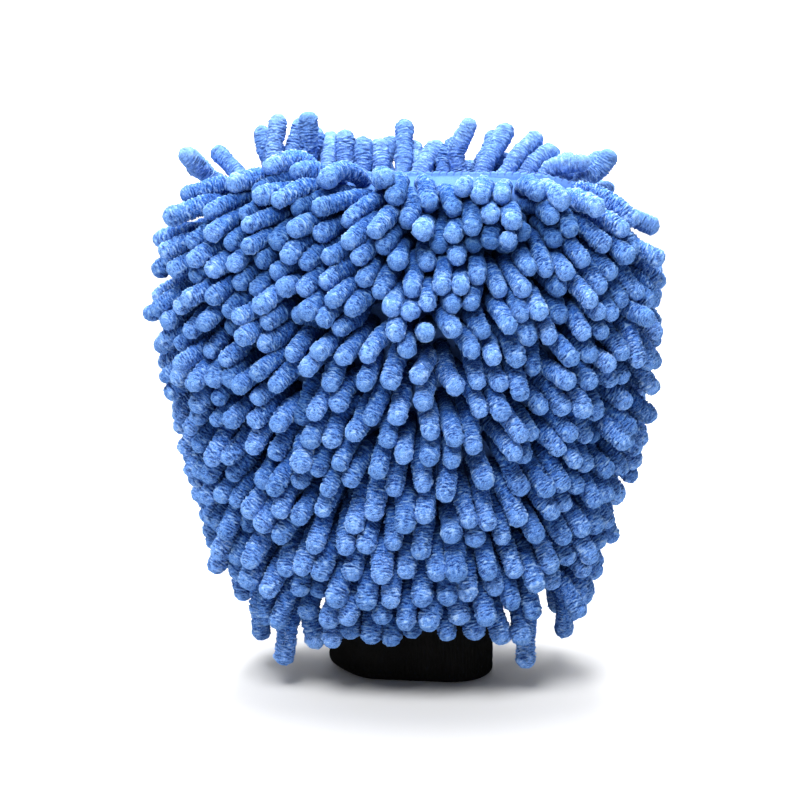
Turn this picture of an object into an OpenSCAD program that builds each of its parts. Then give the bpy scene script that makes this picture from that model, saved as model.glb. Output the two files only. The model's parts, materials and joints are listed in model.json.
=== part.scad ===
// Chenille wash mitt, standing on its ribbed cuff.
// Millimetres. Z is up, X is across the palm, and the front panel faces -Y.
// Two panels of chenille pile are sewn face to face round a hand-shaped lining,
// and a knitted cuff with an elastic band is sewn into the open end.

/* [Panels] */
// Widest width of the sewn panels, across the backing cloth
panel_w = 168; // [150:1:180]
// Thickness of the filled body at its thickest, across the backing cloth
body_d = 76; // [70:1:80]
// Height of the top seam above the foot of the cuff
top_z = 212; // [205:1:220]
// Height of the panels' lower edge above the foot of the cuff
hem_z = 42; // [40:1:50]
// Width of the panels at their lower edge
hem_w = 108; // [100:1:112]
// Thickness of the body at the panels' lower edge
hem_d = 64; // [62:1:68]
// Straight length of the top seam between its round corners
top_w = 60; // [40:1:80]
// Thickness of the backing cloth
backing_t = 1.2; // [1:0.1:1.4]
// Thickness of the lining cloth
lining_t = 0.8; // [0.6:0.1:1]
// Distance from the outside of the backing to the lining
lining_gap = 5; // [4:0.5:6]

/* [Pile] */
// Diameter of one chenille noodle, without the loose fuzz on its surface
noodle_d = 6.8; // [6:0.1:7.8]
// Length of one chenille noodle, from the backing to its tip
noodle_l = 30; // [24:1:32]
// Bare cloth between the top seam and the first row below it
bare_strip = 8; // [7:0.5:10]
// How much more steeply the back panel's top noodles stand than the front's
back_rise = 40; // [0:1:50]
// Distance between noodles in a row
noodle_pitch = 8.2; // [8:0.1:12]
// How much wider than the average the rows are spaced at the hem, as a share of it
low_spacing = 0.1; // [0:0.02:0.12]

/* [Cuff] */
// Outside width of the relaxed cuff
cuff_w = 70; // [66:1:72]
// Outside thickness of the relaxed cuff
cuff_d = 42; // [38:1:42]
// Thickness of the folded knit, both layers
cuff_t = 3.6; // [3.2:0.1:4]
// Height of the cuff, from its fold to the edge sewn into the mitt
cuff_h = 55; // [52:1:56]
// Distance between the ribs of the knit
rib_pitch = 2.4; // [2:0.1:4]
// Width of the elastic band inside the fold
elastic_w = 20; // [15:1:25]

/* [Hidden] */
ROWS = 19;
ROW_NAMES = [for (side = ["front", "back"], i = [1:ROWS])
    str(side, "_row_", i < 10 ? "0" : "", i)];

blue = [0.24, 0.43, 0.80];
seam_blue = [0.30, 0.47, 0.78];
lining_grey = [0.55, 0.62, 0.72];
black = [0.04, 0.04, 0.045];

body_h = top_z - hem_z;
r_noodle = noodle_d / 2;
// Half the thickness of the sewn edge, which keeps the two panels apart
seam_y = 1.3;
// Clearance between parts that lie against each other
slip = 0.05;
// Share of the body's height at which it is widest, and thickest
widest_v = 0.735;
thickest_v = 0.39;

// ---- The body's shape: v runs from 0 at the hem to 1 at the top seam ----

// Round top corners, on a curve between an ellipse and a square
function corner(t) = pow(1 - pow(t, 3.2), 1 / 3.2);

function half_w(v) = v > widest_v
    ? top_w / 2 + (panel_w - top_w) / 2 * corner((v - widest_v) / (1 - widest_v))
    : panel_w / 2 - (panel_w - hem_w) / 2 * pow(1 - v / widest_v, 1.7);

function half_d(v) = v > thickest_v
    ? body_d / 2 * sqrt(max(0, 1 - pow((v - thickest_v) / (1 - thickest_v), 2)))
    : body_d / 2 - (body_d - hem_d) / 2 * pow(1 - v / thickest_v, 2);

// A point on the front panel. a is 0 at the middle and 90 at the side seam.
// inset moves the whole surface in, and seam_y stays as it is.
function on_panel(a, v, inset = 0) = [
    (1 - 2 * inset / panel_w) * half_w(v) * sin(a),
    -seam_y - (1 - 2 * inset / body_d) * half_d(v) * cos(a),
    hem_z + (body_h - inset) * v];

function unit(p) = p / norm(p);

// Outward normal of the front panel, from two short steps along it
function normal_at(a, v) = unit(cross(
    on_panel(a + 0.5, v) - on_panel(a - 0.5, v),
    on_panel(a, min(v + 0.004, 0.9995)) - on_panel(a, v - 0.004)));

// Running length of a list of points: [[length so far, value], ...]
function lengths(points, values) = [
    for (i = 0, s = 0; i < len(points);
         s = s + (i + 1 < len(points) ? norm(points[i + 1] - points[i]) : 0), i = i + 1)
    [s, values[i]]];

// ---- Cloth sheets ----

ACROSS = 18;
UP = 14;
// Rings of a sheet crowd towards the top, where it curves over to the seam
SHEET_V = [for (j = [0:UP]) sin(90 * j / UP) * 0.55 + (j / UP) * 0.45];

function sheet_points(inset) = [
    for (v = SHEET_V, i = [0:ACROSS]) on_panel(-90 + 180 * i / ACROSS, v, inset)];

// One front sheet of cloth, from inset to inset + t, closed round its rim
module sheet(inset, t) {
    row = ACROSS + 1;
    shift = row * (UP + 1);
    function quad(a, b, c, d) = [[a, b, d], [b, c, d]];
    faces = [
        for (j = [0:UP - 1], i = [0:ACROSS - 1])
            let (p = j * row + i)
            each concat(
                quad(p, p + row, p + row + 1, p + 1),
                quad(p + shift, p + shift + 1, p + shift + row + 1, p + shift + row)),
        for (i = [0:ACROSS - 1])
            let (p = i, q = UP * row + i)
            each concat(
                quad(p, p + 1, p + 1 + shift, p + shift),
                quad(q, q + shift, q + 1 + shift, q + 1)),
        for (j = [0:UP - 1])
            let (p = j * row, q = j * row + ACROSS)
            each concat(
                quad(p, p + shift, p + row + shift, p + row),
                quad(q, q + row, q + row + shift, q + shift))];
    polyhedron(
        points = concat(sheet_points(inset), sheet_points(inset + t)),
        faces = faces, convexity = 6);
}

module back() {
    mirror([0, 1, 0]) children();
}

module front_backing() {
    color(blue) sheet(0, backing_t);
}

module back_backing() {
    back() front_backing();
}

module front_lining() {
    color(lining_grey) sheet(lining_gap, lining_t);
}

module back_lining() {
    back() front_lining();
}

// ---- The sewn edge ----

OUTLINE_V = [for (j = [0:48]) sin(90 * j / 48)];

// The panels' outline in the XZ plane, up one side, moved in by inset
function outline(inset, side) = [
    for (v = OUTLINE_V) let (p = on_panel(90 * side, v, inset)) [p.x, p.z]];

function reversed(list) = [for (i = [len(list) - 1:-1:0]) list[i]];

seam_out = 1.2;
seam_in = 7;

// Seam allowance of both panels and the lining, one flat strip round the edge
module perimeter_seam() {
    color(seam_blue)
    rotate([90, 0, 0])
    linear_extrude(2 * (seam_y - slip), center = true)
    polygon(concat(
        outline(-seam_out, 1), reversed(outline(-seam_out, -1)),
        outline(seam_in, -1), reversed(outline(seam_in, 1))));
}

thread_r = 0.4;
stitch_step = 6;

// A place every step along the right half of the sewn edge, as v
function edge_places(inset) = let (
    vs = [for (j = [0:60]) sin(90 * j / 60)],
    table = lengths([for (v = vs) on_panel(90, v, inset)], vs),
    total = table[len(table) - 1][0],
    n = floor(total / stitch_step))
    [for (i = [1:n - 1]) lookup(total * i / n, table)];

// A point straight out from the sewn edge's rim, d away from it
function beyond_rim(v, d) = let (
    rim = on_panel(90, v, -seam_out),
    ahead = unit(on_panel(90, min(v + 0.004, 1), -seam_out) - on_panel(90, v - 0.004, -seam_out)))
    rim + d * [ahead.z, 0, -ahead.x];

// Overlock stitches that wrap the sewn edge, one short thread across it each
module perimeter_thread() {
    out = thread_r + slip;
    sides = [for (side = [-1, 1], v = edge_places(-seam_out))
        let (p = beyond_rim(v, out)) [side * p.x, p.z]];
    top = [for (x = [-top_w / 2:stitch_step:top_w / 2]) [x, top_z + seam_out + out]];
    color(seam_blue)
    for (place = concat(sides, top))
        translate([place.x, 0, place.y])
        rotate([90, 0, 0])
        cylinder(h = 2 * seam_y, r = thread_r, center = true, $fn = 24);
}

// ---- Pile: rows of noodles on the panels ----

hem_strip = 6;
side_strip = 6;

// v of each row, measured along the cloth at the middle of the panel. The rows
// stand a little closer together towards the top seam.
ROW_V = let (
    vs = [for (j = [0:90]) sin(j)],
    table = lengths([for (v = vs) on_panel(0, v)], vs),
    span = table[len(table) - 1][0] - hem_strip - bare_strip)
    [for (i = [0:ROWS - 1]) let (t = i / (ROWS - 1))
        lookup(hem_strip + span * t * (1 + low_spacing * (1 - t)), table)];

// Angles of a row's noodles, equally spaced across the panel. Even and odd rows
// hold even and odd numbers of noodles, so that neighbours stand between each other.
function row_angles(i) = let (
    v = ROW_V[i],
    as = [for (k = [0:60]) 1.5 * k],
    table = lengths([for (a = as) on_panel(a, v)], as),
    half = table[len(table) - 1][0] - side_strip,
    odd = i % 2,
    pairs = floor((half - (odd ? 0 : noodle_pitch / 2)) / noodle_pitch),
    places = odd ? [for (k = [-pairs:pairs]) k * noodle_pitch]
                 : [for (k = [-pairs - 1:pairs]) (k + 0.5) * noodle_pitch],
    spread = half / max(places))
    [for (s = places) sign(s) * lookup(abs(s) * min(spread, 1.12), table)];

// How far a noodle lies above (+) or below (-) the horizontal, by height, at the
// middle of the panel and at its side seams
MIDDLE_TILT = [[0, -84], [0.06, -62], [0.12, -52], [0.2, -44], [0.4, -35], [0.7, -20],
    [0.86, -7], [0.95, 12], [1, 24]];
SIDE_TILT = [[0, -84], [0.06, -62], [0.12, -54], [0.2, -47], [0.4, -41], [0.7, -32],
    [0.86, -24], [0.95, -8], [1, 24]];
// The back panel's top noodles stand up from here
rise_v = 0.88;
// Noodles lean outwards from the middle of the panel by this share of their angle
LEAN = [[0, 1.2], [0.8, 1.15], [1, 0.7]];

function noodle_way(a, v, rise) = let (
    turn = max(-90, min(90, lookup(v, LEAN) * a)),
    side = pow(sin(a), 2),
    tilt = (1 - side) * lookup(v, MIDDLE_TILT) + side * lookup(v, SIDE_TILT)
        + rise * max(0, (v - rise_v) / (1 - rise_v)))
    [sin(turn) * cos(tilt), -cos(turn) * cos(tilt), sin(tilt)];

// A straight noodle with two round ends, standing on the origin along Z
module noodle() {
    rotate_extrude($fn = 24)
    intersection() {
        union() {
            translate([0, r_noodle]) circle(r_noodle, $fn = 24);
            translate([0, noodle_l - r_noodle]) circle(r_noodle, $fn = 24);
            translate([-r_noodle, r_noodle]) square([noodle_d, noodle_l - noodle_d]);
        }
        square([noodle_d, noodle_l]);
    }
}

// Turns children from +Z to the way given
module along(way) {
    rotate([0, acos(way.z), atan2(way.y, way.x)]) children();
}

module noodle_row(i, rise = 0) {
    v = ROW_V[i];
    color(blue)
    for (a = row_angles(i)) {
        way = noodle_way(a, v, rise);
        centre = on_panel(a, v) + normal_at(a, v) * (r_noodle + slip);
        translate(centre - way * r_noodle) along(way) noodle();
    }
}

// ---- Hem binding, where the panels and the lining are gathered into the cuff ----

binding_t = 1.5;

// A stadium: a rectangle with half-round ends, w wide and d deep
module stadium(w, d) {
    square([w - d, d], center = true);
    for (side = [-1, 1])
        translate([side * (w - d) / 2, 0]) circle(d = d, $fn = 96);
}

module hem_outline() {
    polygon([for (a = [0:6:354]) [hem_w / 2 * cos(a), (hem_d / 2 + seam_y) * sin(a)]]);
}

module hem_binding() {
    gap = 2 * (rib_r + 0.3);
    color(black)
    translate([0, 0, hem_z - binding_t - slip])
    linear_extrude(binding_t)
    difference() {
        hem_outline();
        stadium(cuff_w + gap, cuff_d + gap);
    }
}

// A point on the outline of a stadium, s of the way round from its front middle,
// as [x, y, the way it faces]
function stadium_at(w, d, s) = let (
    straight = w - d,
    arc = PI * d / 2,
    along = s * 2 * (straight + arc),
    side = along <= straight + arc ? 1 : -1,
    t = side > 0 ? along : 2 * (straight + arc) - along,
    turn = max(0, min(1, (t - straight / 2) / arc)) * 180,
    x = t < straight / 2 ? t
      : t > straight / 2 + arc ? straight + arc - t
      : straight / 2 + d / 2 * sin(turn))
    [side * x, -d / 2 * cos(turn), side > 0 ? turn - 90 : -turn - 90];

function stadium_length(w, d) = 2 * (w - d) + PI * d;

// n children round a stadium, each turned so that +X faces outwards
module round_stadium(w, d, n) {
    for (i = [0:n - 1]) {
        p = stadium_at(w, d, (i + 0.5) / n);
        translate([p.x, p.y, 0]) rotate(p.z) children();
    }
}

// A stitch lies along a seam: a short thread that faces +X and runs along Y
module stitch(length) {
    rotate([90, 0, 0])
    cylinder(h = length, r = thread_r, center = true, $fn = 24);
}

// Stitches that gather the panels onto the cuff, under the binding
module binding_thread() {
    w = cuff_w + 12;
    d = cuff_d + 12;
    color(black)
    translate([0, 0, hem_z - binding_t - 2 * slip - thread_r])
    round_stadium(w, d, floor(stadium_length(w, d) / 5))
    stitch(3.2);
}

// ---- Cuff: a ribbed knit tube folded double round an elastic band ----

rib_r = 0.7;
layer = 1.3;

module tube(w, d, t, h) {
    linear_extrude(h)
    difference() {
        stadium(w, d);
        stadium(w - 2 * t, d - 2 * t);
    }
}

rib_count = floor(stadium_length(cuff_w, cuff_d) / rib_pitch);

module ribbed_outline() {
    difference() {
        union() {
            stadium(cuff_w, cuff_d);
            round_stadium(cuff_w, cuff_d, rib_count) circle(rib_r, $fn = 16);
        }
        stadium(cuff_w - 2 * cuff_t, cuff_d - 2 * cuff_t);
    }
}

// The pocket in the fold that holds the elastic band
pocket_z = 2;

module cuff_knit() {
    pocket = cuff_t - 2 * layer;
    color(black)
    difference() {
        linear_extrude(cuff_h) ribbed_outline();
        translate([0, 0, pocket_z])
        tube(cuff_w - 2 * layer, cuff_d - 2 * layer, pocket, elastic_w + 1);
    }
}

module cuff_elastic() {
    thick = cuff_t - 2 * layer - 2 * slip;
    color("dimgray")
    translate([0, 0, pocket_z + 0.5])
    tube(cuff_w - 2 * layer - 2 * slip, cuff_d - 2 * layer - 2 * slip, thick, elastic_w);
}

// Stitches on the ribs that close the pocket over the elastic band
module cuff_thread() {
    w = cuff_w + 2 * (rib_r + slip + thread_r);
    d = cuff_d + 2 * (rib_r + slip + thread_r);
    color(black)
    translate([0, 0, pocket_z + elastic_w + 3])
    round_stadium(w, d, floor(stadium_length(w, d) / 4))
    stitch(2.6);
}

// ---- Nodes ----

front_backing();
back_backing();
front_lining();
back_lining();
perimeter_seam();
perimeter_thread();
hem_binding();
binding_thread();
cuff_knit();
cuff_elastic();
cuff_thread();
for (i = [0:ROWS - 1]) {
    noodle_row(i);
    back() noodle_row(i, back_rise);
}
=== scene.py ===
"""Looks of the chenille wash mitt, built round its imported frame. Lengths are metres."""

import json
import math

import bmesh
import bpy
import numpy as np
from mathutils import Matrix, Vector, noise
from mathutils.bvhtree import BVHTree
from mathutils.geometry import convex_hull_2d
from mathutils.kdtree import KDTree


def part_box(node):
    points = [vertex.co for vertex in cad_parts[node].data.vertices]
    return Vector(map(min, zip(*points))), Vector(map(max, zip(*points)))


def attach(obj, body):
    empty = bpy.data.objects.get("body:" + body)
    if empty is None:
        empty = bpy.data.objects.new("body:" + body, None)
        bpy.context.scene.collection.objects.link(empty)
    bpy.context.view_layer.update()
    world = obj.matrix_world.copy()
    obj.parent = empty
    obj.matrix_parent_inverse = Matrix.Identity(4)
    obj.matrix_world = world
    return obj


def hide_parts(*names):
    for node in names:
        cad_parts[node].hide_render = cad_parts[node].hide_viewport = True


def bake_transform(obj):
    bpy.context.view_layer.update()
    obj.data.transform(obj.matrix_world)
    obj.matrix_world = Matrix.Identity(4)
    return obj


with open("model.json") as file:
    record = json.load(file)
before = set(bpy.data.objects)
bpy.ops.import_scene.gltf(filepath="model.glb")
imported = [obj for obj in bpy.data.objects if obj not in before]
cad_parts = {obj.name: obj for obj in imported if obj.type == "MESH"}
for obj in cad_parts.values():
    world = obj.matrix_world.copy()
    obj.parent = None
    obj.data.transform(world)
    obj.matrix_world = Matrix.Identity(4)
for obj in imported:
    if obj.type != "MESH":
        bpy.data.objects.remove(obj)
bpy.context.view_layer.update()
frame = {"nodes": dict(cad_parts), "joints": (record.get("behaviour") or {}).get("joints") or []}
MM = 0.001
rng = np.random.default_rng(7)

# ---------------------------------------------------------------- driving sizes

NOODLE_R = 3.90 * MM  # a noodle's radius at the top; the ones near the cuff are a little fatter
LOW_NOODLE_R = 4.30 * MM
RING_PITCH = 1.22 * MM  # from one ring of tufts to the next, along a noodle
RING_DEPTH = 0.140  # share of the radius
TUFT_HEIGHT = 0.060  # share of the radius
POINTS = 8  # along a noodle's centreline, in the simulation
SIDES = 20  # round a noodle
SECTIONS_PER_RING = 4
DOME_SECTIONS = 12  # over the round tip
RELAX_STEPS = 150
BLOCK = 400  # points whose light is worked out at a time
PAIR_STEPS = 12  # the noodles that can touch are looked up again after that many steps

HINGE_Z = frame["joints"][0]["pos_m"][2]
CUFF_SWING = math.radians(frame["joints"][0]["range_deg"][1])
CUFF_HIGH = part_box("cuff_knit")[1]
TOP_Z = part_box("front_backing")[1].z
HEM_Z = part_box("front_backing")[0].z

# ---------------------------------------------------------------- small helpers


def unit(v):
    return v / np.maximum(np.linalg.norm(v, axis=-1, keepdims=True), 1e-12)


def smoothstep(low, high, x):
    t = np.clip((x - low) / (high - low), 0, 1)
    return t * t * (3 - 2 * t)


def new_object(name, vertices, faces, attributes=None, material=None):
    """A smooth-shaded mesh object. faces is a list of integer arrays, one for each count of corners."""
    mesh = bpy.data.meshes.new(name)
    counts = np.concatenate([np.full(len(f), f.shape[1]) for f in faces])
    loops = np.concatenate([f.ravel() for f in faces])
    mesh.vertices.add(len(vertices))
    mesh.loops.add(len(loops))
    mesh.polygons.add(len(counts))
    mesh.vertices.foreach_set("co", np.asarray(vertices, np.float32).ravel())
    mesh.loops.foreach_set("vertex_index", loops.astype(np.int32))
    starts = np.concatenate([[0], np.cumsum(counts)[:-1]])
    mesh.polygons.foreach_set("loop_start", starts.astype(np.int32))
    mesh.update(calc_edges=True)
    mesh.validate()
    mesh.polygons.foreach_set("use_smooth", np.ones(len(mesh.polygons), bool))
    for key, values in (attributes or {}).items():
        layer = mesh.attributes.new(key, "FLOAT", "POINT")
        layer.data.foreach_set("value", np.asarray(values, np.float32))
    obj = bpy.data.objects.new(name, mesh)
    bpy.context.scene.collection.objects.link(obj)
    if material:
        mesh.materials.append(material)
    return obj


def tube_faces(rings, sides, start=0, closed=False):
    """Quads between rings of vertices, each with that many sides, the first vertex at start."""
    last = rings if closed else rings - 1
    ring, side = np.meshgrid(np.arange(last), np.arange(sides), indexing="ij")
    here = start + ring * sides
    there = start + (ring + 1) % rings * sides
    nxt = (side + 1) % sides
    quads = np.stack([here + side, here + nxt, there + nxt, there + side], axis=-1)
    return quads.reshape(-1, 4)


def frames_along(line):
    """Unit tangents and two unit side vectors at each point of each line, without twist."""
    ahead = np.concatenate([line[:, 1:], 2 * line[:, -1:] - line[:, -2:-1]], axis=1)
    behind = np.concatenate([2 * line[:, :1] - line[:, 1:2], line[:, :-1]], axis=1)
    tangent = unit(ahead - behind)
    side = np.zeros_like(line)
    pick = np.where(np.abs(tangent[:, :1, 2:3]) < 0.9, [[[0.0, 0.0, 1.0]]], [[[1.0, 0.0, 0.0]]])
    side[:, 0] = unit(np.cross(tangent[:, 0], pick[:, 0]))
    for k in range(1, line.shape[1]):
        carried = side[:, k - 1]
        along = (carried * tangent[:, k]).sum(-1, keepdims=True)
        side[:, k] = unit(carried - along * tangent[:, k])
    return tangent, side, np.cross(tangent, side)


def spline(points, shares):
    """Points at shares (0 to 1) of smooth curves through each row of points."""
    count = points.shape[1]
    padded = np.concatenate(
        [2 * points[:, :1] - points[:, 1:2], points, 2 * points[:, -1:] - points[:, -2:-1]], axis=1
    )
    at = shares * (count - 1)
    first = np.clip(np.floor(at).astype(int), 0, count - 2)
    t = (at - first)[..., None]
    row = np.arange(len(points))[:, None]
    a, b, c, d = (padded[row, first + k] for k in range(4))
    return 0.5 * (2 * b + (c - a) * t + (2 * a - 5 * b + 4 * c - d) * t**2 + (3 * b - a - 3 * c + d) * t**3)


# ---------------------------------------------------------------- materials


class Shader:
    """A material's node tree, with short calls to add nodes."""

    def __init__(self, name):
        self.material = bpy.data.materials.new(name)
        self.material.use_nodes = True
        self.tree = self.material.node_tree
        self.tree.nodes.clear()
        self.output = self.tree.nodes.new("ShaderNodeOutputMaterial")
        self.surface = self.tree.nodes.new("ShaderNodeBsdfPrincipled")
        self.tree.links.new(self.surface.outputs["BSDF"], self.output.inputs["Surface"])

    def set(self, **values):
        for key, value in values.items():
            self.surface.inputs[key.replace("_", " ")].default_value = value

    def node(self, kind, settings=None, **inputs):
        n = self.tree.nodes.new("ShaderNode" + kind)
        for key, value in (settings or {}).items():
            setattr(n, key, value)
        for key, value in inputs.items():
            socket = n.inputs[int(key[1:])] if key[0] == "_" else n.inputs[key.replace("_", " ")]
            if isinstance(value, bpy.types.NodeSocket):
                self.tree.links.new(value, socket)
            else:
                socket.default_value = value
        return n

    def attribute(self, name):
        return self.node("Attribute", {"attribute_name": name}).outputs["Fac"]

    def math(self, operation, a, b=0.0, clamp=False):
        return self.node("Math", {"operation": operation, "use_clamp": clamp}, _0=a, _1=b).outputs[0]

    def range(self, value, low, high, to_low=0.0, to_high=1.0):
        return self.node("MapRange", None, _0=value, _1=low, _2=high, _3=to_low, _4=to_high).outputs[0]

    def noise(self, scale, detail=2.0, roughness=0.5, vector=None):
        inputs = {"Scale": scale, "Detail": detail, "Roughness": roughness}
        if vector:
            inputs["Vector"] = vector
        return self.node("TexNoise", None, **inputs).outputs["Fac"]

    def mix(self, factor, a, b, blend="MIX"):
        n = self.tree.nodes.new("ShaderNodeMix")
        n.data_type, n.blend_type = "RGBA", blend
        for socket, value in ((n.inputs[0], factor), (n.inputs[6], a), (n.inputs[7], b)):
            if isinstance(value, bpy.types.NodeSocket):
                self.tree.links.new(value, socket)
            else:
                socket.default_value = value
        return n.outputs[2]

    def object_coordinates(self):
        return self.node("TexCoord").outputs["Object"]

    def colour(self, socket):
        self.tree.links.new(socket, self.surface.inputs["Base Color"])

    def bump(self, height, strength, distance):
        n = self.node("Bump", None, Strength=strength, Distance=distance, Height=height)
        self.tree.links.new(n.outputs["Normal"], self.surface.inputs["Normal"])


def rgb(r, g, b):
    return (r, g, b, 1.0)


def chenille_material():
    """Velvety pile with painted light: painted highlights on the fuzzy tufts and towards the tips, painted
    shade in the pits between the tufts and deep down in the pile.
    """
    s = Shader("chenille")
    where = s.object_coordinates()
    along, relief, tint, light = (s.attribute(name) for name in ("along", "relief", "tint", "open"))
    # painted shade and light along each noodle: deep is painted shade towards the roots, down in the pile,
    # and the tip colour is a painted highlight towards the tips
    deep, middle, painted_tip_light = rgb(0.024, 0.100, 0.450), rgb(0.062, 0.205, 0.670), rgb(0.150, 0.330, 0.780)
    body = s.mix(s.range(along, 0.00, 0.55), deep, middle)
    body = s.mix(s.range(along, 0.60, 0.97), body, painted_tip_light)
    clumps = s.noise(1100.0, 3.0, 0.7, where)
    fibres = s.noise(2300.0, 3.0, 0.75, where)
    # painted shade in the pits between the tufts, and painted highlights on the crests of the tufts
    body = s.mix(s.range(relief, 0.56, 0.18, 0.0, 0.85), body, rgb(0.003, 0.022, 0.190))
    body = s.mix(s.range(relief, 0.64, 0.86, 0.0, 0.85), body, rgb(0.410, 0.610, 0.900))
    body = s.mix(s.range(clumps, 0.56, 0.68, 0.0, 0.55), body, rgb(0.330, 0.540, 0.870))
    body = s.mix(s.range(clumps, 0.45, 0.30, 0.0, 0.60), body, rgb(0.005, 0.036, 0.270))
    body = s.mix(s.range(fibres, 0.55, 0.66, 0.0, 0.68), body, rgb(0.410, 0.630, 0.910))
    body = s.mix(s.range(fibres, 0.46, 0.34, 0.0, 0.70), body, rgb(0.005, 0.033, 0.240))
    # the ones above the seam are lit through from behind
    body = s.mix(s.range(light, 1.0, 1.6, 0.0, 0.40), body, rgb(0.240, 0.420, 0.800))
    shade = s.math("MULTIPLY", s.range(tint, 0.0, 1.0, 0.80, 1.10), s.range(light, 0.06, 0.85, 0.02, 1.0))
    red, green = s.math("POWER", shade, 1.7), s.math("POWER", shade, 1.3)
    body = s.mix(1.0, body, s.node("CombineColor", None, _0=red, _1=green, _2=shade).outputs[0], "MULTIPLY")
    s.colour(body)
    s.set(Roughness=0.95, Sheen_Weight=0.16, Sheen_Roughness=0.5, Sheen_Tint=rgb(0.25, 0.52, 1.0))
    s.set(Specular_IOR_Level=0.0)
    s.bump(s.math("ADD", fibres, clumps), 1.0, 0.40 * MM)
    return s.material


def knit_material(name, colour, dark, scale, sheen):
    """A smooth fine knit: small crossed stitches in the bump, and soft blotches in the colour."""
    s = Shader(name)
    where = s.object_coordinates()
    blotch = s.noise(60.0, 3.0, 0.6, where)
    grain = s.noise(1600.0, 2.0, 0.6, where)
    body = s.mix(s.range(blotch, 0.35, 0.7), rgb(*dark), rgb(*colour))
    body = s.mix(s.range(grain, 0.4, 0.7, 0.0, 0.35), body, rgb(*[min(1.0, 1.35 * c) for c in colour]))
    s.colour(body)
    s.set(Roughness=0.95, Sheen_Weight=sheen, Sheen_Roughness=0.4, Specular_IOR_Level=0.0, IOR=1.02)
    wave = {"wave_type": "BANDS", "bands_direction": "X", "wave_profile": "SIN"}
    across = s.node("TexWave", wave, Vector=where, Scale=scale, Distortion=1.5).outputs["Fac"]
    wave = {"wave_type": "BANDS", "bands_direction": "Z", "wave_profile": "SIN"}
    up = s.node("TexWave", wave, Vector=where, Scale=scale * 1.3, Distortion=2.5).outputs["Fac"]
    s.bump(s.math("ADD", s.math("MULTIPLY", across, up), s.math("MULTIPLY", grain, 0.6)), 0.6, 0.12 * MM)
    return s.material


def thread_material(name, colour):
    """Twisted thread: fine diagonal plies."""
    s = Shader(name)
    where = s.object_coordinates()
    wave = {"wave_type": "BANDS", "bands_direction": "DIAGONAL"}
    plies = s.node("TexWave", wave, Vector=where, Scale=900.0, Distortion=1.0).outputs["Fac"]
    s.colour(s.mix(s.range(plies, 0.2, 0.8), rgb(*[0.55 * c for c in colour]), rgb(*colour)))
    s.set(Roughness=0.6, Sheen_Weight=0.2, Specular_IOR_Level=0.3)
    s.bump(plies, 0.5, 0.08 * MM)
    return s.material


CHENILLE = chenille_material()
BACKING = knit_material("backing_cloth", (0.105, 0.220, 0.560), (0.062, 0.150, 0.430), 420.0, 0.03)
LINING = knit_material("lining_cloth", (0.170, 0.300, 0.560), (0.130, 0.240, 0.470), 300.0, 0.1)
SEAM = knit_material("seam_cloth", (0.120, 0.245, 0.600), (0.075, 0.175, 0.480), 420.0, 0.03)
SEAM_THREAD = thread_material("seam_thread", (0.115, 0.240, 0.600))
RIB_KNIT = knit_material("rib_knit", (0.0095, 0.0095, 0.0094), (0.0052, 0.0052, 0.0052), 500.0, 0.0)
BINDING = knit_material("binding_tape", (0.0070, 0.0072, 0.0076), (0.0040, 0.0040, 0.0046), 600.0, 0.02)
BLACK_THREAD = thread_material("black_thread", (0.020, 0.020, 0.022))
ELASTIC = knit_material("elastic_band", (0.050, 0.050, 0.055), (0.030, 0.030, 0.034), 700.0, 0.05)

# ---------------------------------------------------------------- noodles: from the frame


def islands(obj):
    """The corner points of each separate solid in a CAD node's mesh."""
    bm = bmesh.new()
    bm.from_mesh(obj.data)
    bmesh.ops.remove_doubles(bm, verts=bm.verts, dist=1e-6)
    seen, found = set(), []
    for vertex in bm.verts:
        if vertex in seen:
            continue
        group, queue = [], [vertex]
        seen.add(vertex)
        while queue:
            v = queue.pop()
            group.append(v.co[:])
            for edge in v.link_edges:
                other = edge.other_vert(v)
                if other not in seen:
                    seen.add(other)
                    queue.append(other)
        found.append(np.array(group))
    bm.free()
    return found


def surface_tree(*nodes):
    """A search tree of CAD nodes' surfaces."""
    bm = bmesh.new()
    for name in nodes:
        bm.from_mesh(frame["nodes"][name].data)
    tree = BVHTree.FromBMesh(bm)
    bm.free()
    return tree


def read_noodles():
    """Root, direction, length and outward cloth normal of every CAD noodle, with its row's name."""
    cloth = surface_tree("front_backing", "back_backing")
    rows, roots, ways, lengths, normals = [], [], [], [], []
    for name in sorted(n for n in frame["nodes"] if "_row_" in n):
        for points in islands(frame["nodes"][name]):
            middle = (points.min(0) + points.max(0)) / 2
            axis = np.linalg.svd(points - points.mean(0), full_matrices=False)[2][0]
            reach = (points - middle) @ axis
            ends = [middle + axis * reach.min(), middle + axis * reach.max()]
            near = [cloth.find_nearest(Vector(e)) for e in ends]
            first = 0 if near[0][3] < near[1][3] else 1
            location = np.array(near[first][0])
            way = unit(ends[1 - first] - ends[first])
            root_centre = ends[first] + way * 3.8 * MM
            rows.append(name)
            roots.append(location)
            ways.append(way)
            lengths.append(np.ptp(reach))
            normals.append(unit(root_centre - np.array(cloth.find_nearest(Vector(root_centre))[0])))
    return rows, np.array(roots), np.array(ways), np.array(lengths), np.array(normals)


ROWS, ROOT, WAY, LENGTH, NORMAL = read_noodles()
COUNT = len(ROWS)
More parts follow.
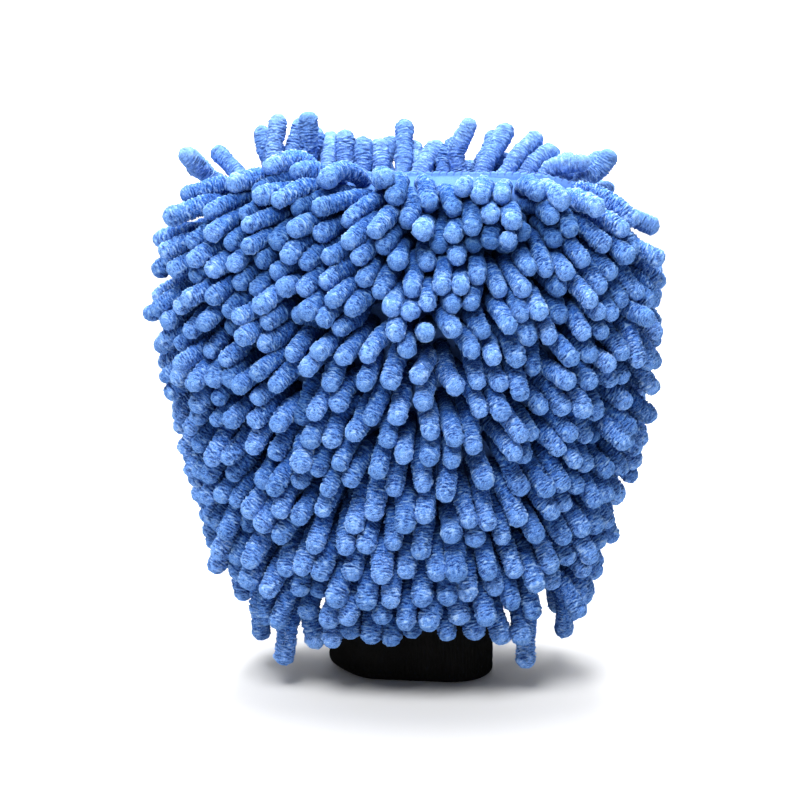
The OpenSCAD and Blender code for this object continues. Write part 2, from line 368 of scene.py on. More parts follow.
# how far up its panel each noodle stands: 0 at the hem, 1 at the top seam
HEIGHT = np.clip((ROOT[:, 2] - HEM_Z) / (TOP_Z - HEM_Z), 0, 1)
FROM_MIDDLE = np.abs(ROOT[:, 0])
IS_BACK = NORMAL[:, 1] > 0
BACK_TOP = IS_BACK & (HEIGHT > 0.9)
AT_HEM = smoothstep(0.16, 0.04, HEIGHT)
OVER_CUFF = smoothstep(42 * MM, 34 * MM, FROM_MIDDLE)
AT_SIDE = smoothstep(52 * MM, 60 * MM, FROM_MIDDLE)
BESIDE_CUFF = (1 - OVER_CUFF) * (1 - AT_SIDE)
# of each point of all the centrelines: the noodle that it belongs to, and its place along it
OWNER = np.repeat(np.arange(COUNT), POINTS)
PLACE = np.tile(np.arange(POINTS), COUNT)

# ---------------------------------------------------------------- noodles: how they lie

# How the front panel's noodles are combed, by height from the hem to the top seam:
# (height, how slowly they turn to the left and to the right away from the parting,
#  degrees above the horizontal at the parting, at the left side and at the right side)
COMB = (
    (0.00, 1.00, 1.00, -80, -86, -78),
    (0.15, 0.95, 1.00, -68, -55, -44),
    (0.30, 0.90, 0.95, -54, -40, -34),
    (0.45, 0.85, 0.90, -38, -37, -34),
    (0.60, 0.80, 0.85, -18, -33, -36),
    (0.75, 0.70, 0.95, -2, -25, -35),
    (0.88, 0.60, 1.50, -6, -18, -30),
    (1.00, 0.45, 1.90, -46, -8, -20),
)
# How the back panel's top noodles stand, by place from the left side to the right side:
# (place, degrees that they lean to the right, degrees that they lean back)
STANDING = (
    (-1.00, -46, 14),
    (-0.85, -34, 20),
    (-0.70, -20, 28),
    (-0.60, -6, 16),
    (-0.50, 2, 34),
    (-0.10, 0, 46),
    (0.10, 6, 40),
    (0.25, 4, 16),
    (0.45, 16, 44),
    (0.60, 72, 10),
    (0.80, 84, 14),
    (1.00, 96, 20),
)
PARTING = 10 * MM  # the line that the front noodles turn away from lies to the right of the middle
SIDE_TURN = 85  # degrees that a noodle at the side seam is turned from straight ahead
SPREAD = 9  # degrees that a noodle is off the combed way, about
STRAY_SHARE = 0.06  # of all the noodles
STRAY_SPREAD = 2.4  # times the spread
LOW_SPREAD = 0.65  # times the spread, for all the low ones
TUCKED_HIGH = 0.22  # share of the upper noodles that are tucked in under their neighbours
TUCKED_LOW = 0.82  # the same for the low ones in every second row
TUCKED_BETWEEN = 0.14  # and for the low ones in the rows between
TUCKED_LAYER = -0.36
LEAN_IN = 0.26  # of the noodles beside the cuff
SAG = 0.20  # of a noodle's tip, against its length
BOW = 0.15
# in each step of the simulation
FALL = 0.05 * MM  # of a tip
STIFFNESS = 0.25  # share of the way back to its own curve
OWN_WAY = 0.15  # share of a stretch's way that doesn't follow the stretch before it
PUSH = 0.7  # share of an overlap that is taken away


def combed():
    """The way each noodle is combed."""
    half = np.interp(HEIGHT, PANEL_V, PANEL_HALF)
    table = np.array(COMB)
    left, right, middle, left_tilt, right_tilt = (np.interp(HEIGHT, table[:, 0], c) for c in table.T[1:])
    aside = (ROOT[:, 0] - PARTING) / (half - np.sign(ROOT[:, 0] - PARTING) * PARTING)
    turn = np.sign(aside) * np.clip(np.abs(aside), 0, 1) ** np.where(aside < 0, left, right)
    drift = np.array([[noise.noise(Vector(p * 22 + k * 9.0)) for k in (1, 2)] for p in ROOT])
    loose = rng.normal(0, 9, COUNT) * np.abs(turn) ** 2
    azimuth = np.radians(SIDE_TURN * turn + 22 * drift[:, 0])
    side_tilt = np.where(turn < 0, left_tilt, right_tilt)
    tilt = np.radians(middle + (side_tilt - middle) * np.abs(turn) + 14 * drift[:, 1] + loose)
    way = np.stack([np.sin(azimuth) * np.cos(tilt), -np.cos(azimuth) * np.cos(tilt), np.sin(tilt)], axis=1)
    # the back panel's are as in the CAD, apart from the top ones, which stand up behind the seam
    place = ROOT[:, 0] / half
    right, rear = (np.radians(np.interp(place, *np.array(STANDING)[:, [0, k]].T)) for k in (1, 2))
    right += 0.30 * drift[:, 0] + rng.normal(0, 0.16, COUNT)
    upright = np.stack([np.sin(right), np.cos(right) * np.sin(rear), np.cos(right) * np.cos(rear)], axis=1)
    standing = smoothstep(0.86, 0.95, HEIGHT)[:, None]
    back_way = unit(WAY * (1 - standing) + upright * standing)
    return np.where(IS_BACK[:, None], back_way, way)


def panel_width():
    """Half the width of the backing cloth at a few heights."""
    points = np.array([v.co for v in frame["nodes"]["front_backing"].data.vertices])
    share = (points[:, 2] - HEM_Z) / (TOP_Z - HEM_Z)
    steps = np.linspace(0, 1, 15)
    widths = [np.abs(points[np.abs(share - v) < 0.06][:, 0]).max() for v in steps]
    return steps, np.array(widths)


PANEL_V, PANEL_HALF = panel_width()


def turned(directions, spread):
    """Directions turned at random by about that many degrees."""
    return unit(directions + rng.normal(0, 1, directions.shape) * np.tan(np.radians(spread)))


def swing_wall(z):
    """How far from the middle plane a noodle near the cuff has to stay, so that the cuff can swing."""
    half = CUFF_HIGH.y + 0.4 * MM
    drop = HINGE_Z - z
    return (half + drop * math.sin(CUFF_SWING)) / math.cos(CUFF_SWING)


def mean_radius(height):
    """The radius of a noodle that stands that far up its panel, from 0 to 1."""
    return LOW_NOODLE_R + (NOODLE_R - LOW_NOODLE_R) * smoothstep(0.05, 0.55, height)


def bare_strip():
    """1 for the front noodles under the bare strip of cloth at the top, to the right, and 0 elsewhere."""
    x = ROOT[:, 0]
    across = smoothstep(0 * MM, 8 * MM, x) * smoothstep(62 * MM, 54 * MM, x)
    return across * smoothstep(0.94, 0.96, HEIGHT) * ~IS_BACK


def lowered(share):
    """How far the noodles under the bare strip are set down along the cloth."""
    cloth = surface_tree("front_backing")
    moves = np.zeros_like(ROOT)
    for i in np.flatnonzero(share[:, 0] > 0):
        place = ROOT[i] + np.array([0.0, -2.0, -9.0]) * MM * share[i]
        moves[i] = np.array(cloth.find_nearest(Vector(place))[0]) - ROOT[i]
    return moves


def stretch_lengths():
    """The length of one stretch of each noodle's centreline."""
    length = LENGTH * rng.uniform(0.92, 1.10, COUNT) * (1 + 0.12 * smoothstep(0.45, 0.0, HEIGHT))
    # the ones behind the top seam differ more, apart from those at the left
    shorter = rng.uniform(0.62, 1.08, COUNT)
    shorter = np.where(ROOT[:, 0] < -30 * MM, np.maximum(shorter, 0.98), shorter)
    length *= np.where(BACK_TOP, shorter, 1.0)
    # at the hem they are short over the cuff and at the sides, and long just beside the cuff
    longer = rng.uniform(0.12, 0.25, COUNT) * BESIDE_CUFF - 0.12 * OVER_CUFF - 0.15 * AT_SIDE
    length *= 1 + longer * AT_HEM
    return (length / (POINTS - 1))[:, None]


def tucked_in():
    """Which noodles are tucked in under their neighbours: low down, most of every second row."""
    second_row = np.array([int(row[-2:]) % 2 == 0 for row in ROWS])
    low = smoothstep(0.60, 0.36, HEIGHT)
    share = TUCKED_HIGH * (1 - low) + np.where(second_row, TUCKED_LOW, TUCKED_BETWEEN) * low
    tucked = rng.random(COUNT) < share
    return tucked & ((HEIGHT > 0.16) | ((HEIGHT > 0.03) & (FROM_MIDDLE < 34 * MM)))


def resting():
    """How the noodles would lie if they were alone: their roots, the ways of their stretches and the
    length of one stretch. The ways are an array of COUNT by POINTS - 1 by 3."""
    way = combed()
    step = stretch_lengths()
    # a few stray ones lie further off, and the low ones lie straighter
    stray = np.where(rng.random((COUNT, 1)) < STRAY_SHARE, STRAY_SPREAD, 1.0)
    stray = np.where(HEIGHT[:, None] < 0.45, LOW_SPREAD, stray)
    way = turned(way, SPREAD * stray)
    # the ones beside the cuff lean in, so that the hem stays closed
    way[:, 0] -= LEAN_IN * np.sign(ROOT[:, 0]) * BESIDE_CUFF * AT_HEM
    way = unit(way)
    tucked = tucked_in()
    # the rest lie in layers: those nearer to the cloth have a lower number
    aside = FROM_MIDDLE[:, None] / (75 * MM)
    outward = np.where(ROOT[:, :1] < 0, -0.12, 0.08) * smoothstep(0.5, 1.0, aside)
    layer = np.clip(rng.normal(0.02, 0.20, (COUNT, 1)) + outward, -0.30, 0.5)
    layer = np.where(tucked[:, None], TUCKED_LAYER, layer)
    start_way = turned(unit((0.62 - layer) * way + (0.38 + layer) * NORMAL), 7)
    # under the bare strip they hang
    bare = bare_strip()[:, None]
    hanging = unit(0.4 * way + np.array([0.0, -0.5, -0.8]))
    way = unit(way * (1 - bare) + hanging * bare)
    start_way = unit(start_way * (1 - bare) + (0.6 * way + 0.4 * np.array([0.0, -1.0, 0.0])) * bare)
    # towards their tips they sag, and they bow a little on the way
    sag = np.where(BACK_TOP, 0.0, SAG)[:, None] * rng.uniform(0.3, 1.7, (COUNT, 1))
    end_way = turned(unit(way + sag * np.array([0.0, 0.0, -1.0])), SPREAD * stray)
    share = np.linspace(0, 1, POINTS - 1)[None, :, None]
    share = smoothstep(0, 0.7, share) * 0.6 + 0.4 * share
    bow = rng.normal(0, BOW, (COUNT, 1, 3)) * stray[:, None]
    turns = rng.uniform(0.5, 1.1, (COUNT, 1, 1))
    swing = np.sin(2 * np.pi * share * turns + rng.uniform(0, 6, (COUNT, 1, 1)))
    rest = unit(start_way[:, None] * (1 - share) + end_way[:, None] * share + bow * swing)
    root = ROOT - NORMAL * 0.5 * MM + lowered(bare)
    slide = rng.normal(0, 0.8 * MM, (COUNT, 3))
    root = root + slide - (slide * NORMAL).sum(1, keepdims=True) * NORMAL
    return root, rest, step


def near_pairs(flat):
    """Pairs of points of different noodles that are close enough to touch soon, roots left out."""
    tree = KDTree(len(flat))
    for i, p in enumerate(flat):
        tree.insert(p, i)
    tree.balance()
    pairs = np.array([
        (i, j)
        for i, p in enumerate(flat)
        for _, j, _ in tree.find_range(p, 2.7 * NOODLE_R)
        if j > i and OWNER[i] != OWNER[j]
    ])
    return pairs[(PLACE[pairs] > 0).all(axis=1)]


def push_apart(flat, pairs, room):
    """Moves the points of touching noodles apart. room is how much each noodle needs."""
    i, j = pairs.T
    gap = flat[i] - flat[j]
    distance = np.linalg.norm(gap, axis=1)
    least_gap = (room[OWNER[i]] + room[OWNER[j]]) / 2
    push = 0.5 * np.maximum(least_gap - distance, 0)[:, None] * unit(gap) * PUSH
    for axis in range(3):
        forward = np.bincount(i, push[:, axis], len(flat))
        flat[:, axis] += forward - np.bincount(j, push[:, axis], len(flat))


def keep_outside(line):
    """Moves centrelines out of the cloth, the floor and the space where the cuff swings."""
    lift = ((line - ROOT[:, None]) * NORMAL[:, None]).sum(-1)
    least = NOODLE_R * np.clip(np.arange(POINTS) * 0.7, 0, 1.0)
    line += (np.maximum(least - lift, 0) * 0.8)[:, :, None] * NORMAL[:, None]
    line[:, :, 2] = np.maximum(line[:, :, 2], 1.6 * NOODLE_R)
    side = np.sign(NORMAL[:, 1])[:, None]
    beside_cuff = np.abs(line[:, :, 0]) < CUFF_HIGH.x + NOODLE_R
    beside_cuff &= line[:, :, 2] < HEM_Z + 2 * MM
    wall = swing_wall(line[:, :, 2]) + NOODLE_R * 1.05
    held = side * np.maximum(side * line[:, :, 1], wall)
    line[:, :, 1] = np.where(beside_cuff & (np.arange(POINTS) > 1), held, line[:, :, 1])


def relax():
    """Centrelines of all the noodles, settled on each other, as an array of COUNT by POINTS by 3."""
    root, rest, step = resting()
    room = 1.92 * mean_radius(HEIGHT)
    line = root[:, None] + np.concatenate(
        [np.zeros((COUNT, 1, 3)), np.cumsum(rest * step[:, :, None], axis=1)], axis=1
    )
    pairs = None
    for turn in range(RELAX_STEPS):
        line[:, 1:, 2] -= FALL * np.linspace(0.3, 1, POINTS - 1)
        # stiffness: each point is drawn to where its rest curve would put it
        for k in range(1, POINTS):
            wanted = rest[:, k - 1]
            if k > 1:
                carried = unit(line[:, k - 1] - line[:, k - 2]) + rest[:, k - 1] - rest[:, k - 2]
                wanted = unit(OWN_WAY * wanted + (1 - OWN_WAY) * carried)
            line[:, k] += STIFFNESS * (line[:, k - 1] + wanted * step - line[:, k])
        flat = line.reshape(-1, 3)
        if turn % PAIR_STEPS == 0:
            pairs = near_pairs(flat)
        push_apart(flat, pairs, room)
        line = flat.reshape(COUNT, POINTS, 3)
        keep_outside(line)
        # and they keep their length
        line[:, 0] = root
        for k in range(1, POINTS):
            line[:, k] = line[:, k - 1] + unit(line[:, k] - line[:, k - 1]) * step
    return line


def openness(line):
    """How much light reaches each point of the centrelines: 0 deep in the pile, 1 at its surface."""
    points = line.reshape(-1, 3).astype(np.float32)
    upward = np.array([0.0, 0.0, 1.2]) * smoothstep(0.80, 0.97, HEIGHT)[:, None]
    normal = np.repeat(unit(NORMAL + upward), POINTS, axis=0).astype(np.float32)
    segment = 2 * NOODLE_R * LENGTH.mean() / (POINTS - 1)  # the area that one stretch covers
    blocked = np.zeros(len(points))
    for first in range(0, len(points), BLOCK):
        block = slice(first, first + BLOCK)
        gap = points[None] - points[block, None]
        distance = np.maximum(np.linalg.norm(gap, axis=-1), NOODLE_R)
        above = np.maximum((gap * normal[block, None]).sum(-1), 0)
        near = (OWNER[None] != OWNER[block, None]) & (distance < 20 * MM)
        blocked[block] = (near * above / distance**3).sum(-1) * segment / np.pi
    # light from behind also reaches the ones that stand above the seam, so they are above 1
    behind = np.repeat(smoothstep(0.86, 0.95, HEIGHT) * IS_BACK, POINTS)
    return (np.exp(-1.1 * blocked * (1 - behind)) + 0.6 * behind).reshape(COUNT, POINTS)


CENTRELINES = relax()
OPEN = openness(CENTRELINES)

# ---------------------------------------------------------------- noodles: their shape


def smooth_noise(shape, width):
    """Random numbers of about unit size, blurred along the second axis over that many places."""
    values = rng.normal(0, 1, (shape[0], shape[1] + 2 * width) + shape[2:])
    kernel = np.hanning(2 * width + 3)[1:-1]
    kernel /= np.sqrt((kernel**2).sum())
    return sum(k * values[:, i : i + shape[1]] for i, k in enumerate(kernel))


def capped_tube_faces(count, sections):
    """Faces of that many tubes. The last two vertices of each close its root and its tip."""
    per = sections * SIDES
    offsets = np.arange(count)[:, None, None] * (per + 2)
    quads = (tube_faces(sections, SIDES)[None] + offsets).reshape(-1, 4)
    side = np.arange(SIDES)
    nxt = (side + 1) % SIDES
    last = (sections - 1) * SIDES
    root_fan = np.stack([nxt, side, np.full(SIDES, per)], axis=1)
    tip_fan = np.stack([last + side, last + nxt, np.full(SIDES, per + 1)], axis=1)
    fans = (np.concatenate([root_fan, tip_fan])[None] + offsets).reshape(-1, 3)
    return [quads, fans]


def noodle_row(name):
    """One row's noodles as a mesh: tubes of fuzzy tufts in rough rings, each with a round tip."""
    picked = np.array([i for i, row in enumerate(ROWS) if row == name])
    count = len(picked)
    length = np.linalg.norm(np.diff(CENTRELINES[picked], axis=1), axis=-1).sum(1)[:, None]
    radius = mean_radius(HEIGHT[picked])[:, None] * rng.uniform(0.93, 1.07, (count, 1))
    # sections: even along the body, then at even angles over the tip
    body_sections = int(round(length.mean() / RING_PITCH)) * SECTIONS_PER_RING
    dome = np.linspace(0, np.pi / 2, DOME_SECTIONS + 1)[1:] - 0.06
    distance = np.concatenate(
        [np.linspace(0, 1, body_sections) * (length - radius), length - radius * (1 - np.sin(dome))], axis=1
    )
    on_body = np.ones(body_sections)
    outline = np.concatenate([on_body, np.cos(dome) ** 0.92])[None]
    run = np.concatenate([distance[:, :body_sections], length - radius + radius * dome], axis=1)
    sections = run.shape[1]
    share = distance / length
    line = spline(CENTRELINES[picked], share)
    tangent, across, other = frames_along(line)
    neck = 0.80 + 0.20 * smoothstep(0.0, 0.45, share)
    swell = 1 + 0.05 * np.sin(share * rng.uniform(6, 14, (count, 1)) + rng.uniform(0, 6, (count, 1)))
    body = radius * outline * neck * swell
    start = rng.uniform(0, 2 * np.pi, (count, 1))
    turn = np.linspace(0, 2 * np.pi, SIDES, endpoint=False)[None] + start
    # rings wander round the noodle, fade in and out, and are broken up into tufts
    wander = 0.22 * np.sin(turn + 5 * start) + 0.16 * np.sin(2 * turn + 3 * start)
    wander = wander[:, None] + 0.20 * smooth_noise((count, sections, SIDES), 2 * SECTIONS_PER_RING)
    groove = (0.5 + 0.5 * np.cos(2 * np.pi * (run[:, :, None] / RING_PITCH + wander))) ** 1.4
    strength = np.clip(0.80 + 0.40 * smooth_noise((count, sections, SIDES), 3), 0.1, 1.5)
    ringed = np.concatenate([on_body, np.linspace(1, 0.25, DOME_SECTIONS)])[None, :, None]
    grainy = np.concatenate([on_body, np.linspace(1.2, 0.35, DOME_SECTIONS)])[None, :, None]
    tuft = np.clip(smooth_noise((count, sections, SIDES), 1), -2, 2) * grainy
    r = body[:, :, None] * (1 - RING_DEPTH * groove * strength * ringed + TUFT_HEIGHT * tuft)
    r *= 1 + 0.035 * np.sin(2 * turn + start)[:, None, :]
    # relief is low in the grooves and high on the tufts; the shader paints shade into the grooves and
    # highlights onto the tufts from it
    relief = np.clip(0.62 + 0.08 * ringed - 0.55 * groove * strength * ringed + 0.17 * tuft, 0, 1)
    shift = 0.14 * MM * smooth_noise((count, sections, SIDES), 1)
    shift[:, -2:] = 0
    vertices = (
        line[:, :, None]
        + across[:, :, None] * (r * np.cos(turn)[:, None, :])[..., None]
        + other[:, :, None] * (r * np.sin(turn)[:, None, :])[..., None]
        + tangent[:, :, None] * shift[..., None]
    )
    ends = np.stack([line[:, 0], line[:, -1] + tangent[:, -1] * 0.04 * MM], axis=1)
    per = sections * SIDES
    tubes = vertices.reshape(count, per, 3)
    points = np.concatenate([tubes, ends], axis=1).reshape(-1, 3)
    faces = capped_tube_faces(count, sections)

    def spread(values, at_root, at_tip):
        body_values = np.broadcast_to(values, (count, sections, SIDES)).reshape(count, per)
        caps = np.broadcast_to([[at_root, at_tip]], (count, 2))
        return np.concatenate([body_values, caps], axis=1).ravel()

    tint = rng.uniform(0, 1, (count, 1, 1))
    lit = spline(OPEN[picked][:, :, None], share)
    attributes = {
        "along": spread(share[:, :, None], 0.0, 1.0),
        "relief": spread(relief, 0.5, 0.6),
        "open": np.clip(spread(lit, 0.0, 1.0), 0, 1.6),
        "tint": np.repeat(tint.ravel(), per + 2),
    }
    piece = new_object("pile_" + name, points, faces, attributes, CHENILLE)
    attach(piece, "mitt")
    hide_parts(name)


for row_name in sorted(set(ROWS)):
    noodle_row(row_name)

# ---------------------------------------------------------------- cloth shells


def shell(name, grid, thickness, material):
    """Cloth through rings of points, with its thickness on the inner side."""
    rows, columns = grid.shape[:2]
    along = np.gradient(grid, axis=0)
    round_it = np.roll(grid, -1, axis=1) - np.roll(grid, 1, axis=1)
    inner = grid - unit(np.cross(round_it, along)) * thickness
    points = np.concatenate([grid.reshape(-1, 3), inner.reshape(-1, 3)])
    shift = rows * columns
    column = np.arange(columns)
    nxt = (column + 1) % columns
    row = np.arange(rows - 1)[:, None] * columns
    sheet = np.stack([row + column, row + nxt, row + columns + nxt, row + columns + column], axis=-1)
    sheet = sheet.reshape(-1, 4)
    low = np.stack([nxt, column, column + shift, nxt + shift], axis=-1)
    top = (rows - 1) * columns
    high = np.stack([top + column, top + nxt, top + nxt + shift, top + column + shift], axis=-1)
    return new_object(name, points, [sheet, sheet[:, ::-1] + shift, low, high], material=material)


def threads(name, lines, radius, material, sides=6):
    """Short threads along lines of the same number of points, with their ends tucked in."""
    lines = np.asarray(lines)
    count, points = lines.shape[:2]
    _, across, other = frames_along(lines)
    thin = np.interp(np.linspace(0, 1, points), [0, 0.12, 0.88, 1], [0.25, 1, 1, 0.25]) * radius
    turn = np.linspace(0, 2 * np.pi, sides, endpoint=False)
    ring = (
        lines[:, :, None]
        + across[:, :, None] * (thin[:, None] * np.cos(turn))[None, :, :, None]
        + other[:, :, None] * (thin[:, None] * np.sin(turn))[None, :, :, None]
    )
    offsets = np.arange(count)[:, None, None] * points * sides
    quads = (tube_faces(points, sides)[None] + offsets).reshape(-1, 4)
    first = np.arange(sides)[::-1][None, None]
    last = (points - 1) * sides + np.arange(sides)[None, None]
    caps = (np.concatenate([first, last], axis=1) + offsets).reshape(-1, sides)
    return new_object(name, ring.reshape(-1, 3), [quads, caps], material=material)


def noise_at(points, scale, seed=0.0):
    """Smooth noise from -1 to 1 at each point. scale is the size of its lumps."""
    return np.array([noise.noise(Vector(p / scale + seed)) for p in points])


def soft_cloth(node, name, material, wrinkle, pucker, fine):
    """A finer, wrinkled copy of a CAD sheet of cloth, puckered where it is sewn in at the top."""
    bm = bmesh.new()
    bm.from_mesh(frame["nodes"][node].data)
    bmesh.ops.remove_doubles(bm, verts=bm.verts, dist=1e-6)
    bmesh.ops.join_triangles(bm, faces=bm.faces, angle_face_threshold=0.6, angle_shape_threshold=0.9)
    mesh = bpy.data.meshes.new(name)
    bm.to_mesh(mesh)
    bm.free()
    obj = bpy.data.objects.new(name, mesh)
    bpy.context.scene.collection.objects.link(obj)
    smooth = obj.modifiers.new("fine", "SUBSURF")
    smooth.levels = fine
    done = bpy.data.meshes.new_from_object(obj.evaluated_get(bpy.context.evaluated_depsgraph_get()))
    obj.modifiers.clear()
    obj.data = done
    co = np.zeros(len(done.vertices) * 3)
    done.vertices.foreach_get("co", co)
    co = co.reshape(-1, 3)
    wide, deep = PANEL_HALF.max(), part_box("back_backing")[1].y
    outward = unit(np.stack([co[:, 0] / wide**2, co[:, 1] / deep**2, np.zeros(len(co))], axis=1))
    lumps = noise_at(co, 16 * MM) + 0.5 * noise_at(co, 6 * MM, 5.0)
    gather = np.sin(2 * np.pi * co[:, 0] / (3.6 * MM) + 2.0 * noise_at(co, 14 * MM, 9.0))
    near_seam = np.exp(-(TOP_Z - co[:, 2]) / (4.5 * MM))
    move = wrinkle * lumps + pucker * gather * near_seam
    move *= smoothstep(0, 3 * MM, np.abs(co[:, 1]) - 1.3 * MM)
    co += outward * move[:, None]
    done.vertices.foreach_set("co", co.ravel())
    done.polygons.foreach_set("use_smooth", np.ones(len(done.polygons), bool))
    done.materials.clear()
    done.materials.append(material)
    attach(obj, "mitt")
    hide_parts(node)
    return obj


FINE = 3
for side in ("front", "back"):
    cloth = soft_cloth(side + "_backing", side + "_cloth", BACKING, 0.35 * MM, 0.45 * MM, FINE)
    cloth = soft_cloth(side + "_lining", side + "_inner_cloth", LINING, 0.5 * MM, 0.2 * MM, FINE)

# ---------------------------------------------------------------- the sewn edge


def even_steps(points, step):
    """Points at equal steps along a line of points."""
    run = np.concatenate([[0], np.cumsum(np.linalg.norm(np.diff(points, axis=0), axis=1))])
    at = np.linspace(0, run[-1], int(round(run[-1] / step)) + 1)
    return np.stack([np.interp(at, run, points[:, k]) for k in range(points.shape[1])], axis=1), at


def rim_line(node, step):
    """The rim of the sewn edge in the XZ plane, from its left foot over the top to its right foot."""
    flat = np.array([[v.co.x, v.co.z] for v in frame["nodes"][node].data.vertices])
    hull = flat[convex_hull_2d([tuple(p) for p in flat])]
    if np.cross(hull[1] - hull[0], hull[2] - hull[1]) > 0:
        hull = hull[::-1]
    foot = np.lexsort((hull[:, 0], hull[:, 1] > hull[:, 1].min() + 1e-5))[0]
    return even_steps(np.roll(hull, -foot, axis=0), step)


def rim_frame(line):
    """Outward directions along a rim line in the XZ plane."""
    ahead = unit(np.gradient(line, axis=0))
    return np.stack([-ahead[:, 1], ahead[:, 0]], axis=1)


def sewn_edge():
    """Both panels' seam allowances pressed together: a strip with a round, puckered outer edge."""
    line, at = rim_line("perimeter_seam", 0.85 * MM)
    out = rim_frame(line)
    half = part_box("perimeter_seam")[1].y
    deep = 8 * MM
    bend = np.linspace(-np.pi / 2, np.pi / 2, 9)
    # thicker inside, where the cloths are pressed on it, so that no slit shows beside it
    filled = half + 0.7 * MM
    profile = [(-deep, -filled), (-2 * MM, -filled)]
    profile += [(half * np.cos(b) - half, half * np.sin(b)) for b in bend]
    profile += [(-2 * MM, filled), (-deep, filled)]
    profile = np.array(profile)
    rim = smoothstep(-3 * MM, 0, profile[:, 0])
    samples = np.stack([line[:, 0], np.zeros(len(line)), line[:, 1]], axis=1)
    pucker = 0.30 * MM * np.sin(2 * np.pi * at / (3.4 * MM) + 2 * noise_at(samples, 20 * MM))
    sway = 0.28 * MM * noise_at(samples, 9 * MM, 3.0)
    reach = profile[None, :, 0] + pucker[:, None] * rim[None] - 0.3 * MM * rim[None]
    y = profile[None, :, 1] + sway[:, None] * rim[None]
    x = line[:, None, 0] + out[:, None, 0] * reach
    z = line[:, None, 1] + out[:, None, 1] * reach
    grid = np.stack([x, y, z], axis=-1)
    rings, sides = grid.shape[:2]
    caps = np.stack([np.arange(sides), (rings - 1) * sides + np.arange(sides)[::-1]])
    faces = [tube_faces(rings, sides)[:, ::-1], caps]
    piece = new_object("sewn_edge", grid.reshape(-1, 3), faces, material=SEAM)
    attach(piece, "mitt")
    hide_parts("perimeter_seam")


def overlock():
    """Slanted loops of thread over the sewn edge."""
    line, at = rim_line("perimeter_seam", 3.0 * MM)
    line, at = line[1:-1], at[1:-1]
    out = rim_frame(line)
    ahead = np.stack([out[:, 1], -out[:, 0]], axis=1)
    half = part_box("perimeter_seam")[1].y + 0.12 * MM
    share = np.linspace(-1, 1, 11)
    y = half * np.sin(share * np.pi / 2 * 0.98)
    reach = 0.06 * MM - 2.3 * MM * np.abs(share) ** 2.4
    slant = 0.7 * MM * share
    x = line[:, None, 0] + out[:, None, 0] * reach + ahead[:, None, 0] * slant
    z = line[:, None, 1] + out[:, None, 1] * reach + ahead[:, None, 1] * slant
    loops = np.stack([x, np.broadcast_to(y, x.shape), z], axis=-1)
    piece = threads("overlock", loops, 0.17 * MM, SEAM_THREAD)
    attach(piece, "mitt")
    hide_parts("perimeter_thread")


sewn_edge()
overlock()

# ---------------------------------------------------------------- cuff and hem binding

RIB_PITCH = 1.7 * MM
CUFF_HALF_W, CUFF_HALF_D = CUFF_HIGH.x - 0.7 * MM, CUFF_HIGH.y - 0.7 * MM
CUFF_ROUND = 4 * (CUFF_HALF_W - CUFF_HALF_D) + 2 * np.pi * CUFF_HALF_D
CUFF_TOP = CUFF_HIGH.z
WALL = 3.6 * MM  # both layers of the knit together
SEAM_HEIGHT = 25 * MM  # of the stitches that close the fold over the elastic
TAPE_STITCH_HEIGHT = 31.4 * MM
STITCH_STEPS = 12  # of the cuff's outline from one stitch to the next
STITCH_POINTS = 7
GATHERS = 46  # folds of the hem tape round the cuff
# how far each ring of the hem tape is below the hem, from the panels' lower edge down to the cuff
TAPE_DROPS = np.array([2, 4, 9, 17, 26, 36, 46, 57, 67, 77, 86, 94, 101, 116]) * 0.1 * MM


def stadium(count, out=0.0):
    """count points round the cuff's outline, out metres outside it, and the outward directions."""
    straight = 2 * (CUFF_HALF_W - CUFF_HALF_D)
    arc = np.pi * CUFF_HALF_D
    s = np.linspace(0, 2 * (straight + arc), count, endpoint=False)
    half = straight + arc
    t = np.where(s <= half, s, 2 * half - s)
    turn = np.clip((t - straight / 2) / arc, 0, 1) * np.pi
    middle = np.where(t < straight / 2, t, np.where(t > straight / 2 + arc, half - t, straight / 2))
    side = np.where(s <= half, 1, -1)
    way = np.stack([side * np.sin(turn), -np.cos(turn)], axis=1)
    core = np.stack([side * middle, np.zeros(count)], axis=1)
    return core + way * (CUFF_HALF_D + out), way


def settled(points):
    """The cuff's slack: it is turned a little at its foot, and its left end doesn't lie quite flat."""
    low = np.clip(1 - points[..., 2] / HINGE_Z, 0, 1)
    moved = points.copy()
    moved[..., 1] -= 0.13 * points[..., 0] * low
    raised = smoothstep(-16 * MM, -36 * MM, points[..., 0])
    moved[..., 2] += 2.2 * MM * raised * smoothstep(0.3, 1.0, low)
    return moved


def cuff_skin(s_points, way, z, extra=0.0):
    """Points on the cuff's outside at heights z, with its soft folds, and extra metres further out."""
    base = np.stack([s_points[:, 0], s_points[:, 1], np.zeros(len(s_points))], axis=1)
    wave = noise_at(base, 17 * MM, 2.0)
    slack = 0.7 * MM * wave * np.sin(np.pi * np.clip(z / HINGE_Z, 0, 1)) + extra
    return np.stack([s_points[:, 0] + way[:, 0] * slack, s_points[:, 1] + way[:, 1] * slack, z], axis=1)


